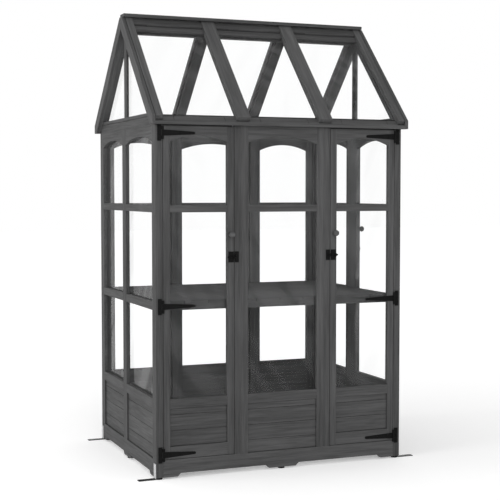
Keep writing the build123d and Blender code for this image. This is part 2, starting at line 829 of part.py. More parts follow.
for door in doors:
    with BuildPart() as door_frame:
        near, far = door.sides
        open_near, open_far = door.opening
        stick(door.wall, near, open_near, door_bottom, door_top, 0, door_thickness)
        stick(door.wall, open_far, far, door_bottom, door_top, 0, door_thickness)
        open_near += joint_gap
        open_far -= joint_gap
        for low, high in [(door_bottom, skirt_top + low_board)] + rail_rows:
            stick(door.wall, open_near, open_far, low, high, 0, door_thickness)
        arched_head(door.wall, open_near, open_far, door_top, door_thickness)
        chamfer(door_frame.edges(), arris)
    keep(door_frame, f"{door.name}_frame")

    with BuildPart() as door_boards:
        for low, high in board_rows[1:]:
            stick(
                door.wall,
                *door.opening,
                low + board_gap / 2,
                high - board_gap / 2,
                board_setback,
                board_setback + board_thickness,
            )
        chamfer(door_boards.edges(), arris)
    keep(door_boards, f"{door.name}_boards")

    with BuildPart() as door_pane:
        open_near, open_far = door.opening
        stick(
            door.wall,
            open_near - pane_lap,
            open_far + pane_lap,
            base_top - pane_lap,
            arch_crown + pane_lap,
            door_thickness,
            door_thickness + pane_thickness,
        )
    keep(door_pane, f"{door.name}_pane")

    with BuildPart() as hinge_straps:
        axis = door.hinge_axis
        for height in hinge_heights:
            tip_centre = axis + door.way * (strap_reach - strap_tip / 2)
            with BuildSketch(door.wall) as leaf:
                with BuildLine():
                    Polyline(
                        (tip_centre, height + strap_tip / 2),
                        (axis, height + strap_root / 2),
                        (axis, height - strap_root / 2),
                        (tip_centre, height - strap_tip / 2),
                    )
                    ThreePointArc(
                        (tip_centre, height - strap_tip / 2),
                        (axis + door.way * strap_reach, height),
                        (tip_centre, height + strap_tip / 2),
                    )
                make_face()
            extrude(amount=hinge_metal, dir=door.wall.z_dir)
            with Locations(place(door.wall, axis, height, hinge_axis_proud)):
                Cylinder(knuckle_radius, strap_root, rotation=upright)
                Cylinder(bore_radius, hinge_plate_height, rotation=upright, mode=Mode.SUBTRACT)
    keep(hinge_straps, f"{door.name}_straps")

    with BuildPart() as knob:
        foot = place(door.wall, door.from_latch_edge(-knob_inset), knob_height)
        knob_plane = Plane(
            origin=foot.position, x_dir=door.wall.x_dir, z_dir=-door.wall.y_dir
        )
        round_across = (knob_radius - knob_face_radius) * cos(radians(45))
        round_out = (knob_reach - knob_shoulder) * sin(radians(45))
        with BuildSketch(knob_plane):
            with BuildLine():
                Polyline(
                    (knob_face_radius, knob_reach),
                    (0, knob_reach),
                    (0, 0),
                    (knob_foot_radius, 0),
                )
                ThreePointArc(
                    (knob_foot_radius, 0),
                    (knob_waist_radius, knob_waist),
                    (knob_radius, knob_shoulder),
                )
                ThreePointArc(
                    (knob_radius, knob_shoulder),
                    (knob_face_radius + round_across, knob_shoulder + round_out),
                    (knob_face_radius, knob_reach),
                )
            make_face()
        revolve(axis=Axis(foot.position, door.wall.z_dir))
    keep(knob, f"{door.name}_knob")

    with BuildPart() as bolt_case:
        plate_middle = door.from_latch_edge(plate_near + latch_plate_width / 2)
        with Locations(place(door.wall, plate_middle, latch_height, latch_metal / 2)):
            Box(latch_plate_width, latch_plate_height, latch_metal)
        for guide in (inner_guide, outer_guide):
            with Locations(
                place(door.wall, door.from_latch_edge(guide), latch_height, guide_middle)
            ):
                Box(guide_width, guide_height, guide_depth)
        with Locations(place(door.wall, plate_middle, latch_height, bolt_axis)):
            Cylinder(
                bolt_radius + bolt_fit,
                2 * latch_plate_width,
                rotation=along_wall,
                mode=Mode.SUBTRACT,
            )
    keep(bolt_case, f"{door.name}_bolt_case")

    with BuildPart() as bolt:
        bolt_middle = door.from_latch_edge((bolt_near + bolt_far) / 2)
        with Locations(place(door.wall, bolt_middle, latch_height, bolt_axis)):
            Cylinder(bolt_radius, bolt_far - bolt_near, rotation=along_wall)
        peg_at = door.from_latch_edge(peg_place)
        with Locations(place(door.wall, peg_at, latch_height, (bolt_axis + peg_reach) / 2)):
            Cylinder(peg_radius, peg_reach - bolt_axis)
    keep(bolt, f"{door.name}_bolt")
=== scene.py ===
"""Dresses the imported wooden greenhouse: painted grain, clear sheets, hardware, screws and the studio."""

from __future__ import annotations

import json
import logging
from dataclasses import dataclass, field
from enum import Enum
from functools import cached_property
from math import pi, radians, sqrt

import bmesh
import bpy
from bpy.types import Material, Node, NodeSocket, Object, ShaderNodeTree
from mathutils import Matrix, Vector

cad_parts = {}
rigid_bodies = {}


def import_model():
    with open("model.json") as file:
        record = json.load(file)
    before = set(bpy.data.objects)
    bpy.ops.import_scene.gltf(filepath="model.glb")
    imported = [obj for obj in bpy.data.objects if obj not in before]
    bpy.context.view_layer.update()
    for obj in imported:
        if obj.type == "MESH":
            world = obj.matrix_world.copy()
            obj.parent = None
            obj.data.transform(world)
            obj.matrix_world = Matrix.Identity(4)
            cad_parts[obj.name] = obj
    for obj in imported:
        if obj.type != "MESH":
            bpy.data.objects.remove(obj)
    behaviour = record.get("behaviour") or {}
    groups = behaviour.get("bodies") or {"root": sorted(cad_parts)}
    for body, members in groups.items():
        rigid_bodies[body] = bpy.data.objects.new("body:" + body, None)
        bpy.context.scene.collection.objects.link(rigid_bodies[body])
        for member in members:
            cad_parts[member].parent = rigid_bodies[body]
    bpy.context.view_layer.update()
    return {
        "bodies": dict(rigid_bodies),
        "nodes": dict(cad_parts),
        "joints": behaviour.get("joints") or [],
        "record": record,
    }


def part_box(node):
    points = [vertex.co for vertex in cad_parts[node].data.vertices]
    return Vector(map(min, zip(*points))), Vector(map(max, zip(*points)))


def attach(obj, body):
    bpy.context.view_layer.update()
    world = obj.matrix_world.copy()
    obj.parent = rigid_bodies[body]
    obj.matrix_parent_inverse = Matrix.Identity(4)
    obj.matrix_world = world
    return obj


LOG = logging.getLogger("greenhouse")

Colour = tuple[float, float, float, float]
Span = tuple[float, float]

WHITE: Colour = (1.0, 1.0, 1.0, 1.0)
NOISE_CORE: Span = (0.3, 0.7)
# How far a pane reaches behind its frame.
PANE_LAP = 0.010


@dataclass(frozen=True)
class NoiseShape:
    """Features of one noise.

    The scale counts them to the metre, and the stretch is their share of that scale along the grain.
    """

    scale: float
    detail: float
    stretch: float = 1.0
    roughness: float = 0.6


GRAIN_SWAY = NoiseShape(9.0, 2.0, 0.25)
GRAIN_FIGURE = NoiseShape(95.0, 4.0, 0.035)
GRAIN_FIBRE = NoiseShape(480.0, 3.0, 0.02)
GRAIN_TONE = NoiseShape(8.0, 2.0, 0.12)
SHEET_SMEARS = NoiseShape(14.0, 4.0, 0.5)
FOOT_SHADE_EDGE = NoiseShape(160.0, 3.0)
SLOPE_SHARE = sqrt(0.5)


class GrainAxis(Enum):
    """Direction in which the grain of a timber runs."""

    CROSSWISE = "along the front"
    LENGTHWISE = "front to rear"
    UPRIGHT = "up"
    SLOPING = "down the roof"

    @property
    def wall(self) -> int:
        """Number of the axis along a wall whose rails run this way."""
        return 0 if self is GrainAxis.CROSSWISE else 1


class Side(Enum):
    """Outer side of the greenhouse that a fitting is screwed to."""

    FRONT = "front"
    RIGHT = "right"
    LEFT = "left"

    @property
    def turn(self) -> Matrix:
        """Turns a fitting's own outward Z to this side's outward direction.

        Returns:
            The turn.
        """
        return {
            Side.FRONT: Matrix.Rotation(pi / 2, 4, "X"),
            Side.RIGHT: Matrix.Rotation(pi / 2, 4, "Y"),
            Side.LEFT: Matrix.Rotation(-pi / 2, 4, "Y"),
        }[self]

    @property
    def rails(self) -> GrainAxis:
        """Direction in which the rails of this side run."""
        return GrainAxis.CROSSWISE if self is Side.FRONT else GrainAxis.LENGTHWISE

    def face(self, node: str) -> float:
        """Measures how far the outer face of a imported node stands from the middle.

        Args:
            node: Name of the node.

        Returns:
            The distance, square to this side.
        """
        low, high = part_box(node)
        return {Side.FRONT: -low.y, Side.RIGHT: high.x, Side.LEFT: -low.x}[self]

    def point(self, along: float, height: float, out: float) -> Vector:
        """Gives a place on this side.

        Args:
            along: Distance along the wall, in the frame's own X or Y.
            height: Height above the ground.
            out: Distance of the place from the middle, square to the wall.

        Returns:
            The place in the frame.
        """
        return {
            Side.FRONT: Vector((along, -out, height)),
            Side.RIGHT: Vector((out, along, height)),
            Side.LEFT: Vector((-out, along, height)),
        }[self]


class Graph:
    """A short way to add and join the shader nodes of one node tree."""

    def __init__(self, tree: ShaderNodeTree) -> None:
        """Keeps the tree that nodes are added to."""
        self.tree = tree

    def feed(self, socket: NodeSocket, value: object) -> None:
        """Links a socket to another one, or sets its own value.

        Args:
            socket: The socket to fill.
            value: Another socket, or the value.
        """
        if isinstance(value, NodeSocket):
            self.tree.links.new(value, socket)
        else:
            socket.default_value = value

    def node(self, kind: str, inputs: dict[str | int, object] | None = None, **settings: object) -> Node:
        """Adds one node.

        Args:
            kind: Blender's name of the node type.
            inputs: Values or sockets for its inputs, by name or number.
            **settings: Properties of the node.

        Returns:
            The new node.
        """
        made = self.tree.nodes.new(kind)
        for name, value in settings.items():
            setattr(made, name, value)
        for key, value in (inputs or {}).items():
            self.feed(made.inputs[key], value)
        return made

    def math(self, operation: str, *values: object) -> NodeSocket:
        """Adds a Math node and gives its result."""
        return self.node("ShaderNodeMath", dict(enumerate(values)), operation=operation).outputs[0]

    def mix(self, factor: object, first: object, second: object, blend: str = "MIX") -> NodeSocket:
        """Adds a colour Mix node and gives its result."""
        inputs = {0: factor, 6: first, 7: second}
        return self.node("ShaderNodeMix", inputs, data_type="RGBA", blend_type=blend).outputs[2]

    def spread(self, value: NodeSocket, low: float, high: float, to: Span = (0.0, 1.0)) -> NodeSocket:
        """Adds a Map Range node that spreads low to high over another range."""
        inputs = {"Value": value, "From Min": low, "From Max": high, "To Min": to[0], "To Max": to[1]}
        return self.node("ShaderNodeMapRange", inputs).outputs[0]

    def noise(self, vector: NodeSocket, shape: NoiseShape) -> NodeSocket:
        """Adds noise that is drawn out along the vector's last direction.

        Args:
            vector: Coordinates in metres.
            shape: Features of the noise.

        Returns:
            The noise value.
        """
        placed = self.node("ShaderNodeMapping", {"Vector": vector, "Scale": (1.0, 1.0, shape.stretch)})
        inputs = {
            "Vector": placed.outputs[0],
            "Scale": shape.scale,
            "Detail": shape.detail,
            "Roughness": shape.roughness,
        }
        return self.node("ShaderNodeTexNoise", inputs).outputs[0]

    def group(self, tree: ShaderNodeTree, inputs: dict[str, object]) -> Node:
        """Places a node group.

        Args:
            tree: The group.
            inputs: Values or sockets for its inputs, by name.

        Returns:
            The new node.
        """
        made = self.node("ShaderNodeGroup", node_tree=tree)
        for name, value in inputs.items():
            self.feed(made.inputs[name], value)
        return made

    def relief(self, shader: Node, height: NodeSocket, strength: float, depth: float) -> None:
        """Gives a shader fine relief.

        Args:
            shader: The Principled shader.
            height: Height of the relief, from 0 to 1.
            strength: How much of it shows.
            depth: Its depth in metres.
        """
        bump = self.node("ShaderNodeBump", {"Strength": strength, "Distance": depth, "Height": height})
        self.feed(shader.inputs["Normal"], bump.outputs[0])

    def object_place(self) -> NodeSocket:
        """Gives the coordinates of the piece."""
        return self.node("ShaderNodeTexCoord").outputs["Object"]


def new_group(name: str, inputs: dict[str, str], outputs: dict[str, str]) -> tuple[Graph, Node, Node]:
    """Starts a shader node group.

    Args:
        name: Name of the group.
        inputs: Socket types by input name.
        outputs: Socket types by output name.

    Returns:
        The graph of the group, its input node and its output node.
    """
    tree = bpy.data.node_groups.new(name, "ShaderNodeTree")
    for direction, sockets in (("INPUT", inputs), ("OUTPUT", outputs)):
        for socket, kind in sockets.items():
            tree.interface.new_socket(socket, in_out=direction, socket_type=kind)
    graph = Graph(tree)
    return graph, graph.node("NodeGroupInput"), graph.node("NodeGroupOutput")


class Effects:
    """The shared surface effects, each one a node group."""

    sway_core: Span = (0.2, 0.8)
    sway_reach: Span = (-0.012, 0.012)
    shade_samples: int = 6
    open_to_hidden: Span = (0.75, 0.2)
    edge_samples: int = 4
    flat_to_edge: Span = (0.97, 0.8)
    speckle_shares: tuple[tuple[str, float], ...] = (("Fine", 1.0), ("Broad", 0.12))
    speckle_detail: float = 3.0
    band_slant: tuple[float, float, float] = (1.4, 1.4, 1.0)
    band_scale: float = 5.0
    band_detail: float = 1.0
    band_core: Span = (0.48, 0.56)
    foot_shade_ragged: Span = (-0.001, 0.001)
    foot_shade_fade: Span = (1.6, 1.0)
    least_height: float = 0.0001

    def __init__(self) -> None:
        """Builds every group once."""
        self.grain = self._grain()
        self.joint_shade = self._joint_shade()
        self.edge_wear_and_shade = self._edge_wear_and_shade()
        self.speckle = self._speckle()
        self.sheen_bands = self._sheen_bands()
        self.foot_painted_shade = self._foot_painted_shade()

    def _grain(self) -> ShaderNodeTree:
        """Timber grain along the last direction of its vector: broad figure, fine fibre and slow tone.

        Returns:
            The tree of the group.
        """
        outputs = {"Figure": "NodeSocketFloat", "Fibre": "NodeSocketFloat", "Tone": "NodeSocketFloat"}
        graph, start, end = new_group("timber_grain", {"Vector": "NodeSocketVector"}, outputs)
        place = start.outputs["Vector"]
        sway = graph.spread(graph.noise(place, GRAIN_SWAY), *self.sway_core, self.sway_reach)
        aside = graph.node("ShaderNodeCombineXYZ", {0: sway}).outputs[0]
        bent = graph.node("ShaderNodeVectorMath", {0: place, 1: aside}, operation="ADD").outputs[0]
        rows = (("Figure", bent, GRAIN_FIGURE), ("Fibre", place, GRAIN_FIBRE), ("Tone", place, GRAIN_TONE))
        for output, vector, shape in rows:
            graph.feed(end.inputs[output], graph.spread(graph.noise(vector, shape), *NOISE_CORE))
        return graph.tree

    def _joint_shade(self) -> ShaderNodeTree:
        """Mask of painted shade in the narrow joints and inner corners, found by ambient occlusion.

        A face that looks squarely through clear glazing counts its own node alone: a sheet leaves no shade.

        Returns:
            The tree of the group.
        """
        inputs = {"Distance": "NodeSocketFloat", "Flat": "NodeSocketFloat"}
        graph, start, end = new_group("joint_shade", inputs, {"Mask": "NodeSocketFloat"})
        reach = {"Distance": start.outputs["Distance"]}
        masks = []
        for own in (True, False):
            settings = {"samples": self.shade_samples, "only_local": own}
            open_air = graph.node("ShaderNodeAmbientOcclusion", reach, **settings).outputs["AO"]
            masks.append(graph.spread(open_air, *self.open_to_hidden))
        own_shade, all_shade = masks
        aside = graph.math("SUBTRACT", 1.0, start.outputs["Flat"])
        mask = graph.math("MAXIMUM", own_shade, graph.math("MULTIPLY", all_shade, aside))
        graph.feed(end.inputs["Mask"], mask)
        return graph.tree

    def _edge_wear_and_shade(self) -> ShaderNodeTree:
        """Mask of the sharp edges, broken up by a roughness value: edge wear, and painted shade where the
        edge colour is near black.

        Returns:
            The tree of the group.
        """
        inputs = {"Radius": "NodeSocketFloat", "Breakup": "NodeSocketFloat"}
        graph, start, end = new_group("edge_wear_and_shade", inputs, {"Mask": "NodeSocketFloat"})
        radius = {"Radius": start.outputs["Radius"]}
        rounded = graph.node("ShaderNodeBevel", radius, samples=self.edge_samples).outputs[0]
        flat = graph.node("ShaderNodeNewGeometry").outputs["Normal"]
        facing = graph.node("ShaderNodeVectorMath", {0: rounded, 1: flat}, operation="DOT_PRODUCT")
        edge = graph.spread(facing.outputs["Value"], *self.flat_to_edge)
        graph.feed(end.inputs["Mask"], graph.math("MULTIPLY", edge, start.outputs["Breakup"]))
        return graph.tree

    def _speckle(self) -> ShaderNodeTree:
        """Fine even variation of a coated or moulded surface.

        Returns:
            The tree of the group.
        """
        inputs = {"Vector": "NodeSocketVector", "Scale": "NodeSocketFloat"}
        outputs = {"Fine": "NodeSocketFloat", "Broad": "NodeSocketFloat"}
        graph, start, end = new_group("surface_speckle", inputs, outputs)
        for output, share in self.speckle_shares:
            scale = graph.math("MULTIPLY", start.outputs["Scale"], share)
            cloud = {"Vector": start.outputs["Vector"], "Scale": scale, "Detail": self.speckle_detail}
            value = graph.node("ShaderNodeTexNoise", cloud).outputs[0]
            graph.feed(end.inputs[output], graph.spread(value, *NOISE_CORE))
        return graph.tree

    def _sheen_bands(self) -> ShaderNodeTree:
        """Soft slanting bands and faint smears of a clear sheet.

        Returns:
            The tree of the group.
        """
        outputs = {"Bands": "NodeSocketFloat", "Smears": "NodeSocketFloat"}
        graph, start, end = new_group("sheen_bands", {"Vector": "NodeSocketVector"}, outputs)
        place = start.outputs["Vector"]
        slant = graph.node("ShaderNodeVectorMath", {0: place, 1: self.band_slant}, operation="DOT_PRODUCT")
        across = {"W": slant.outputs["Value"], "Scale": self.band_scale, "Detail": self.band_detail}
        bands = graph.node("ShaderNodeTexNoise", across, noise_dimensions="1D").outputs[0]
        graph.feed(end.inputs["Bands"], graph.spread(bands, *self.band_core))
        graph.feed(end.inputs["Smears"], graph.noise(place, SHEET_SMEARS))
        return graph.tree

    def _foot_painted_shade(self) -> ShaderNodeTree:
        """Mask of painted shade on what lies close to the ground, with a ragged upper edge.

        Returns:
            The tree of the group.
        """
        inputs = {"Vector": "NodeSocketVector", "Height": "NodeSocketFloat"}
        graph, start, end = new_group("foot_painted_shade", inputs, {"Mask": "NodeSocketFloat"})
        place = start.outputs["Vector"]
        up = graph.node("ShaderNodeSeparateXYZ", {0: place}).outputs["Z"]
        uneven = graph.spread(graph.noise(place, FOOT_SHADE_EDGE), 0.0, 1.0, self.foot_shade_ragged)
        height = graph.math("MAXIMUM", start.outputs["Height"], self.least_height)
        clear = graph.math("DIVIDE", graph.math("ADD", up, uneven), height)
        graph.feed(end.inputs["Mask"], graph.spread(clear, *self.foot_shade_fade))
        return graph.tree


@dataclass(frozen=True)
class GrainLay:
    """How the grain lies in one node: one direction, and another one between some places along the wall."""

    name: str
    main: GrainAxis
    rails: GrainAxis | None = None
    spans: tuple[Span, ...] = ()
    # Multiplies the paint's tone; the shelf and roof lays use it to paint light and shade.
    depth_of_tone: float = 1.0
    glazed: bool = False

    def flatness(self, graph: Graph) -> object:
        """Measures how squarely a face looks through the glazing that its node holds.

        Args:
            graph: The graph that the nodes are added to.

        Returns:
            From 0, which is also for a node without glazing, to 1 for squarely.
        """
        if not self.glazed:
            return 0.0
        if self.main is GrainAxis.SLOPING:
            return 1.0
        normal = graph.node("ShaderNodeTexCoord").outputs["Normal"]
        parts = graph.node("ShaderNodeSeparateXYZ", {0: normal}).outputs
        return graph.math("ABSOLUTE", parts[1 - self.rails.wall])

    @staticmethod
    def _turned(graph: Graph, axis: GrainAxis, place: tuple[NodeSocket, ...]) -> NodeSocket:
        """Turns coordinates so that the last direction is the grain's.

        Args:
            graph: The graph that the nodes are added to.
            axis: Direction of the grain.
            place: The piece's own X, Y and Z.

        Returns:
            The turned coordinates.
        """
        x, y, z = place
        if axis is GrainAxis.SLOPING:
            down = graph.math("ABSOLUTE", y)
            across = graph.math("MULTIPLY", graph.math("ADD", down, z), SLOPE_SHARE)
            turned = (x, across, graph.math("MULTIPLY", graph.math("SUBTRACT", down, z), SLOPE_SHARE))
        else:
            turned = {
                GrainAxis.CROSSWISE: (y, z, x),
                GrainAxis.LENGTHWISE: (x, z, y),
                GrainAxis.UPRIGHT: (x, y, z),
            }[axis]
        return graph.node("ShaderNodeCombineXYZ", dict(enumerate(turned))).outputs[0]

    def vector(self, graph: Graph) -> NodeSocket:
        """Finds coordinates whose last direction follows the grain.

        Args:
            graph: The graph that the nodes are added to.

        Returns:
            The coordinates, in metres.
        """
        place = tuple(graph.node("ShaderNodeSeparateXYZ", {0: graph.object_place()}).outputs)
        main = self._turned(graph, self.main, place)
        if self.rails is None:
            return main
        rails = self._turned(graph, self.rails, place)
        along = place[self.rails.wall]
        inside: object = 0.0
        for low, high in self.spans:
            within = graph.math("COMPARE", along, (low + high) / 2, (high - low) / 2)
            inside = graph.math("MAXIMUM", within, inside)
        return graph.node("ShaderNodeMix", {0: inside, 4: main, 5: rails}, data_type="VECTOR").outputs[1]


@dataclass(frozen=True)
class PaintedTimber:
    """Dark grey stain over sawn softwood, with the grain showing through."""

    dark: Colour = (0.038, 0.038, 0.038, 1.0)
    light: Colour = (0.092, 0.092, 0.093, 1.0)
    # Colour of the painted shade in joints and inner corners.
    joint: Colour = (0.012, 0.012, 0.012, 1.0)
    # Colour of the edges: light edge wear on most timber, painted shade where it is near black as on the
    # shelf.
    wear_and_shade_colour: Colour = (0.200, 0.198, 0.195, 1.0)
    joint_shade_distance: float = 0.010
    edge_radius: float = 0.0016
    grain_depth: float = 0.0005
    grain_strength: float = 0.4
    figure_share: float = 0.6
    fibre_share: float = 0.4
    tone_span: Span = (0.8, 1.2)
    joint_shade_share: float = 0.75
    wear_and_shade_share: float = 0.6
    roughness: Span = (0.72, 0.52)
    specular: float = 0.08

    def material(self, effects: Effects, lay: GrainLay) -> Material:
        """Makes the paint for one lay of the grain.

        Args:
            effects: The shared node groups.
            lay: How the grain runs.

        Returns:
            The new material.
        """
        made, graph, shader = new_material(f"painted_timber_{lay.name}")
        grain = graph.group(effects.grain, {"Vector": lay.vector(graph)}).outputs
        figure = graph.math("MULTIPLY", grain["Figure"], self.figure_share)
        lines = graph.math("ADD", figure, graph.math("MULTIPLY", grain["Fibre"], self.fibre_share))
        # Painted shade: joints and inner corners are darkened where ambient occlusion finds them hidden.
        shade = {"Distance": self.joint_shade_distance, "Flat": lay.flatness(graph)}
        joint = graph.group(effects.joint_shade, shade).outputs["Mask"]
        edge_inputs = {"Radius": self.edge_radius, "Breakup": grain["Fibre"]}
        edge = graph.group(effects.edge_wear_and_shade, edge_inputs).outputs["Mask"]
        colour = graph.mix(lines, self.dark, self.light)
        dimmest, brightest = (share * lay.depth_of_tone for share in self.tone_span)
        tone = graph.spread(grain["Tone"], 0.0, 1.0, (dimmest, brightest))
        tint = graph.node("ShaderNodeCombineColor", {channel: tone for channel in range(3)}).outputs[0]
        colour = graph.mix(1.0, colour, tint, "MULTIPLY")
        # Mixes in the painted shade of the joints and inner corners.
        colour = graph.mix(graph.math("MULTIPLY", joint, self.joint_shade_share), colour, self.joint)
        # Mixes in the edge colour: edge wear, and on the shelf boards painted shade.
        colour = graph.mix(graph.math("MULTIPLY", edge, self.wear_and_shade_share), colour, self.wear_and_shade_colour)
        graph.feed(shader.inputs["Base Color"], colour)
        graph.feed(shader.inputs["Roughness"], graph.spread(grain["Fibre"], 0.0, 1.0, self.roughness))
        shader.inputs["Specular IOR Level"].default_value = self.specular
        graph.relief(shader, lines, self.grain_strength, self.grain_depth)
        return made


@dataclass(frozen=True)
class ClearSheet:
    """Clear glazing sheet with slanting sheen bands."""

    tint: Colour = (0.995, 0.997, 0.997, 1.0)
    bend: float = 1.06
    gloss: Span = (0.0, 0.20)
    coat_roughness: float = 0.08
    smear_core: Span = (0.3, 0.8)
    roughness: Span = (0.0, 0.015)

    def material(self, effects: Effects) -> Material:
        """Makes the sheet, which lets light and shadow pass straight through as thin sheet does.

        Args:
            effects: The shared node groups.

        Returns:
            The new material.
        """
        made, graph, shader = new_material("clear_sheet_glazing")
        shader.inputs["Base Color"].default_value = self.tint
        shader.inputs["Transmission Weight"].default_value = 1.0
        shader.inputs["IOR"].default_value = self.bend
        shader.inputs["Coat Roughness"].default_value = self.coat_roughness
        sheen = graph.group(effects.sheen_bands, {"Vector": graph.object_place()}).outputs
        graph.feed(shader.inputs["Coat Weight"], graph.spread(sheen["Bands"], 0.0, 1.0, self.gloss))
        smears = graph.spread(sheen["Smears"], *self.smear_core, self.roughness)
        graph.feed(shader.inputs["Roughness"], smears)
        path = graph.node("ShaderNodeLightPath").outputs
        passing = graph.math("MAXIMUM", path["Is Shadow Ray"], path["Is Diffuse Ray"])
        through = graph.node("ShaderNodeBsdfTransparent", {"Color": self.tint}).outputs[0]
        blended = graph.node("ShaderNodeMixShader", {0: passing, 1: shader.outputs[0], 2: through})
        output = next(node for node in graph.tree.nodes if node.type == "OUTPUT_MATERIAL")
        graph.feed(output.inputs["Surface"], blended.outputs[0])
        return made


@dataclass(frozen=True)
class Coating:
    """A coated, plated or moulded surface with fine speckle and rubbed edges."""

    name: str
    colour: Colour
    second: Colour
    rubbed: Colour
    metallic: float
    roughness: Span
    speckle_scale: float
    relief: float
    relief_strength: float = 0.3
    edge_radius: float = 0.0009
    rub: float = 0.5
    specular: float = 0.5
    # Colour of the painted shade at the foot.
    stain: Colour = (0.030, 0.030, 0.030, 1.0)
    foot_shade_height: float = 0.0

    def material(self, effects: Effects) -> Material:
        """Makes the coating, with painted shade darkening its foot where it has a foot shade height.

        Args:
            effects: The shared node groups.

        Returns:
            The new material.
        """
        made, graph, shader = new_material(self.name)
        place = graph.object_place()
        speckle = graph.group(effects.speckle, {"Vector": place, "Scale": self.speckle_scale}).outputs
        edge_inputs = {"Radius": self.edge_radius, "Breakup": speckle["Broad"]}
        edge = graph.group(effects.edge_wear_and_shade, edge_inputs).outputs["Mask"]
        colour = graph.mix(speckle["Broad"], self.colour, self.second)
        colour = graph.mix(graph.math("MULTIPLY", edge, self.rub), colour, self.rubbed)
        # Painted shade: darkens the piece close to the ground.
        if self.foot_shade_height:
            low = graph.group(effects.foot_painted_shade, {"Vector": place, "Height": self.foot_shade_height})
            colour = graph.mix(low.outputs["Mask"], colour, self.stain)
        graph.feed(shader.inputs["Base Color"], colour)
        graph.feed(shader.inputs["Roughness"], graph.spread(speckle["Fine"], 0.0, 1.0, self.roughness))
        shader.inputs["Metallic"].default_value = self.metallic
        shader.inputs["Specular IOR Level"].default_value = self.specular
        graph.relief(shader, speckle["Fine"], self.relief_strength, self.relief)
        return made


def new_material(name: str) -> tuple[Material, Graph, Node]:
    """Starts a material that holds one Principled shader.

    Args:
        name: Name of the material.

    Returns:
        The material, its graph and its shader.
    """
    made = bpy.data.materials.new(name)
    made.use_nodes = True
    graph = Graph(made.node_tree)
    graph.tree.nodes.clear()
    shader = graph.node("ShaderNodeBsdfPrincipled")
    graph.node("ShaderNodeOutputMaterial", {"Surface": shader.outputs[0]})
    return made, graph, shader


def glazed_width(node: str, rails: GrainAxis) -> Span:
    """Measures the clear width in front of packed panes.

    Args:
        node: Name of the panes' node.
        rails: Direction in which the rails of their wall run.

    Returns:
        The two ends of that width along the wall.
    """
    low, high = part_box(node)
    return low[rails.wall] + PANE_LAP, high[rails.wall] - PANE_LAP


def new_piece(name: str, shape: bmesh.types.BMesh, material: Material) -> Object:
    """Turns a finished mesh into an object of the scene.

    Args:
        name: Name of the object.
        shape: Its mesh, which is freed.
        material: Its material.

    Returns:
        The new object.
    """
    mesh = bpy.data.meshes.new(name)
    shape.to_mesh(mesh)
    shape.free()
    mesh.materials.append(material)
    piece = bpy.data.objects.new(name, mesh)
    bpy.context.scene.collection.objects.link(piece)
    return piece


# The near-black edge colour darkens the shelf boards' arrises: painted shade standing in for the shade in
# the gaps between the boards.
SHELF_TIMBER = PaintedTimber(wear_and_shade_colour=(0.004, 0.004, 0.004, 1.0), edge_radius=0.0026, specular=0.0)
BLACK_STEEL = Coating(
    name="black_coated_steel",
    colour=(0.003, 0.003, 0.003, 1.0),
    second=(0.006, 0.006, 0.006, 1.0),
    rubbed=(0.020, 0.020, 0.020, 1.0),
    metallic=0.0,
    roughness=(0.50, 0.65),
    speckle_scale=1400.0,
    relief=0.00015,
    specular=0.06,
)
ZINC = Coating(
    name="zinc_plate",
    colour=(0.48, 0.48, 0.48, 1.0),
    second=(0.60, 0.60, 0.61, 1.0),
    rubbed=(0.70, 0.70, 0.70, 1.0),
    metallic=1.0,
    roughness=(0.30, 0.48),
    speckle_scale=900.0,
    relief=0.0001,
    # Darkens the brackets up to 4.2 mm above the ground, fading out above that: painted shade on their flat
    # legs.
    foot_shade_height=0.0042,
)
PIN_STEEL = Coating(
    name="dark_pin_steel",
    colour=(0.020, 0.020, 0.020, 1.0),
    second=(0.035, 0.035, 0.035, 1.0),
    rubbed=(0.060, 0.060, 0.060, 1.0),
    metallic=1.0,
    roughness=(0.45, 0.60),
    speckle_scale=1600.0,
    relief=0.0001,
)
GLIDE_PLASTIC = Coating(
    name="black_moulded_plastic",
    colour=(0.006, 0.006, 0.006, 1.0),
    second=(0.010, 0.010, 0.010, 1.0),
    rubbed=(0.050, 0.050, 0.050, 1.0),
    metallic=0.0,
    roughness=(0.50, 0.70),
    speckle_scale=1800.0,
    relief=0.0001,
    rub=0.3,
    specular=0.05,
)


class Finishes:
    """Makes each finish once and puts it on nodes and pieces."""

    def __init__(self, nodes: dict[str, Object]) -> None:
        """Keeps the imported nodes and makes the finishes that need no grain.

        Args:
            nodes: Packed objects by node name.
        """
        self.nodes = nodes
        self.effects = Effects()
        self.timber = PaintedTimber()
        self.clear = ClearSheet().material(self.effects)
        self.black = BLACK_STEEL.material(self.effects)
        self.zinc = ZINC.material(self.effects)
        self.pin_steel = PIN_STEEL.material(self.effects)
        self.plastic = GLIDE_PLASTIC.material(self.effects)

    def put(self, material: Material, *names: str) -> None:
        """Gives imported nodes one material.

        Args:
            material: The material.
            *names: The nodes.
        """
        for name in names:
            slots = self.nodes[name].material_slots
            if not slots:
                self.nodes[name].data.materials.append(material)
            for slot in slots:
                slot.material = material
            LOG.info("%s takes %s", name, material.name)

    def paint(self, lay: GrainLay, *names: str, timber: PaintedTimber | None = None) -> None:
        """Paints packed timber nodes with their grain along a lay.

        Args:
            lay: How the grain runs.
            *names: The nodes.
            timber: Their paint, where it isn't the common one.
        """
        self.put((timber or self.timber).material(self.effects, lay), *names)


